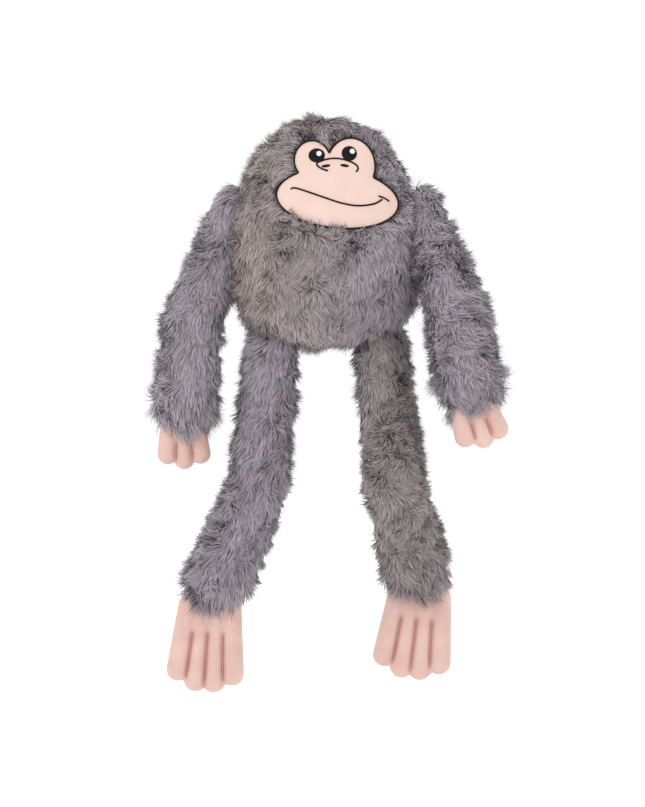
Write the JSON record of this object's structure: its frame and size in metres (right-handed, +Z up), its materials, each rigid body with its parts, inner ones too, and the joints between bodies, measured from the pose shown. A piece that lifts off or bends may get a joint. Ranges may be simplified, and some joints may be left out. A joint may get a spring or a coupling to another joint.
{
  "type": "stuffed monkey",
  "caption": "Long-limbed stuffed monkey in grey pile fabric, with a sewn-on peach face, padded hands and feet, and jointed floppy limbs.",
  "frame": {"origin": "the crown of the head, where the toy is picked up", "axes": "+Z up from the feet to the crown, -Y out of the face, +X to the monkey's own left"},
  "size_m": [0.2976, 0.1464, 0.4979],
  "materials": {
    "pile_fabric": "long pile",
    "velboa": "short brushed pile",
    "black_thread": "satin stitch",
    "white_thread": "satin stitch",
    "peach_thread": "matt thread",
    "grey_thread": "matt thread",
    "stuffing": "loose fibre"
  },
  "bodies": {
    "torso": {"body_front_panel": "pile_fabric", "body_back_right_panel": "pile_fabric", "body_back_left_panel": "pile_fabric", "body_stuffing": "stuffing", "back_closing_stitches": "grey_thread", "face_patch": "velboa", "face_edge_stitching": "black_thread", "mouth_stitching": "black_thread", "nose_stitching": "black_thread", "nostril_stitching": "black_thread", "right_eye": "black_thread", "left_eye": "black_thread", "right_eye_glint": "white_thread", "left_eye_glint": "white_thread", "right_shoulder_neck": "pile_fabric", "left_shoulder_neck": "pile_fabric", "right_hip_neck": "pile_fabric", "left_hip_neck": "pile_fabric"},
    "right_shoulder": {"right_shoulder_wad": "stuffing"},
    "right_upper_arm": {"right_upper_arm_sleeve": "pile_fabric", "right_upper_arm_stuffing": "stuffing"},
    "right_forearm": {"right_forearm_sleeve": "pile_fabric", "right_forearm_stuffing": "stuffing"},
    "right_hand": {"right_hand_back": "velboa", "right_hand_palm": "velboa", "right_hand_stuffing": "stuffing", "right_hand_stitching": "peach_thread"},
    "right_hip": {"right_hip_wad": "stuffing"},
    "right_thigh": {"right_thigh_sleeve": "pile_fabric", "right_thigh_stuffing": "stuffing"},
    "right_shin": {"right_shin_sleeve": "pile_fabric", "right_shin_stuffing": "stuffing"},
    "right_foot": {"right_foot_top": "velboa", "right_foot_sole": "velboa", "right_foot_stuffing": "stuffing", "right_foot_stitching": "peach_thread"},
    "left_shoulder": {"left_shoulder_wad": "stuffing"},
    "left_upper_arm": {"left_upper_arm_sleeve": "pile_fabric", "left_upper_arm_stuffing": "stuffing"},
    "left_forearm": {"left_forearm_sleeve": "pile_fabric", "left_forearm_stuffing": "stuffing"},
    "left_hand": {"left_hand_back": "velboa", "left_hand_palm": "velboa", "left_hand_stuffing": "stuffing", "left_hand_stitching": "peach_thread"},
    "left_hip": {"left_hip_wad": "stuffing"},
    "left_thigh": {"left_thigh_sleeve": "pile_fabric", "left_thigh_stuffing": "stuffing"},
    "left_shin": {"left_shin_sleeve": "pile_fabric", "left_shin_stuffing": "stuffing"},
    "left_foot": {"left_foot_top": "velboa", "left_foot_sole": "velboa", "left_foot_stuffing": "stuffing", "left_foot_stitching": "peach_thread"}
  },
  "joints": [
    {"name": "right_shoulder_swing", "type": "hinge", "parent": "torso", "child": "right_shoulder", "pos_m": [-0.103, 0, -0.091], "axis": [-1, 0, 0], "range_deg": [-50, 150]},
    {"name": "right_shoulder_raise", "type": "hinge", "parent": "right_shoulder", "child": "right_upper_arm", "pos_m": [-0.103, 0, -0.091], "axis": [0, 1, 0], "range_deg": [0, 110]},
    {"name": "right_elbow_bend", "type": "hinge", "parent": "right_upper_arm", "child": "right_forearm", "pos_m": [-0.116, 0, -0.17905], "axis": [-1, 0, 0], "range_deg": [-30, 60]},
    {"name": "right_wrist_flop", "type": "hinge", "parent": "right_forearm", "child": "right_hand", "pos_m": [-0.12484, 0, -0.2676], "axis": [-1, 0, 0], "range_deg": [-45, 45]},
    {"name": "right_hip_swing", "type": "hinge", "parent": "torso", "child": "right_hip", "pos_m": [-0.049, 0, -0.21782], "axis": [-1, 0, 0], "range_deg": [-45, 100]},
    {"name": "right_hip_spread", "type": "hinge", "parent": "right_hip", "child": "right_thigh", "pos_m": [-0.049, 0, -0.21782], "axis": [0, 1, 0], "range_deg": [-10, 6]},
    {"name": "right_knee_bend", "type": "hinge", "parent": "right_thigh", "child": "right_shin", "pos_m": [-0.06005, 0, -0.32123], "axis": [-1, 0, 0], "range_deg": [-60, 45]},
    {"name": "right_ankle_flop", "type": "hinge", "parent": "right_shin", "child": "right_foot", "pos_m": [-0.10069, 0, -0.41696], "axis": [-1, 0, 0], "range_deg": [-45, 45]},
    {"name": "left_shoulder_swing", "type": "hinge", "parent": "torso", "child": "left_shoulder", "pos_m": [0.103, 0, -0.091], "axis": [-1, 0, 0], "range_deg": [-63, 124]},
    {"name": "left_shoulder_raise", "type": "hinge", "parent": "left_shoulder", "child": "left_upper_arm", "pos_m": [0.103, 0, -0.091], "axis": [0, -1, 0], "range_deg": [0, 110]},
    {"name": "left_elbow_bend", "type": "hinge", "parent": "left_upper_arm", "child": "left_forearm", "pos_m": [0.10997, -0.03902, -0.17069], "axis": [-1, 0, 0], "range_deg": [-30, 60]},
    {"name": "left_wrist_flop", "type": "hinge", "parent": "left_forearm", "child": "left_hand", "pos_m": [0.12129, -0.07522, -0.2512], "axis": [-1, 0, 0], "range_deg": [-45, 45]},
    {"name": "left_hip_swing", "type": "hinge", "parent": "torso", "child": "left_hip", "pos_m": [0.049, 0, -0.21782], "axis": [-1, 0, 0], "range_deg": [-45, 76]},
    {"name": "left_hip_spread", "type": "hinge", "parent": "left_hip", "child": "left_thigh", "pos_m": [0.049, 0, -0.21782], "axis": [0, -1, 0], "range_deg": [-10, 6]},
    {"name": "left_knee_bend", "type": "hinge", "parent": "left_thigh", "child": "left_shin", "pos_m": [0.05546, -0.0423, -0.31261], "axis": [-1, 0, 0], "range_deg": [-16, 60]},
    {"name": "left_ankle_flop", "type": "hinge", "parent": "left_shin", "child": "left_foot", "pos_m": [0.08076, -0.00673, -0.40701], "axis": [-1, 0, 0], "range_deg": [-80, 8]}
  ]
}
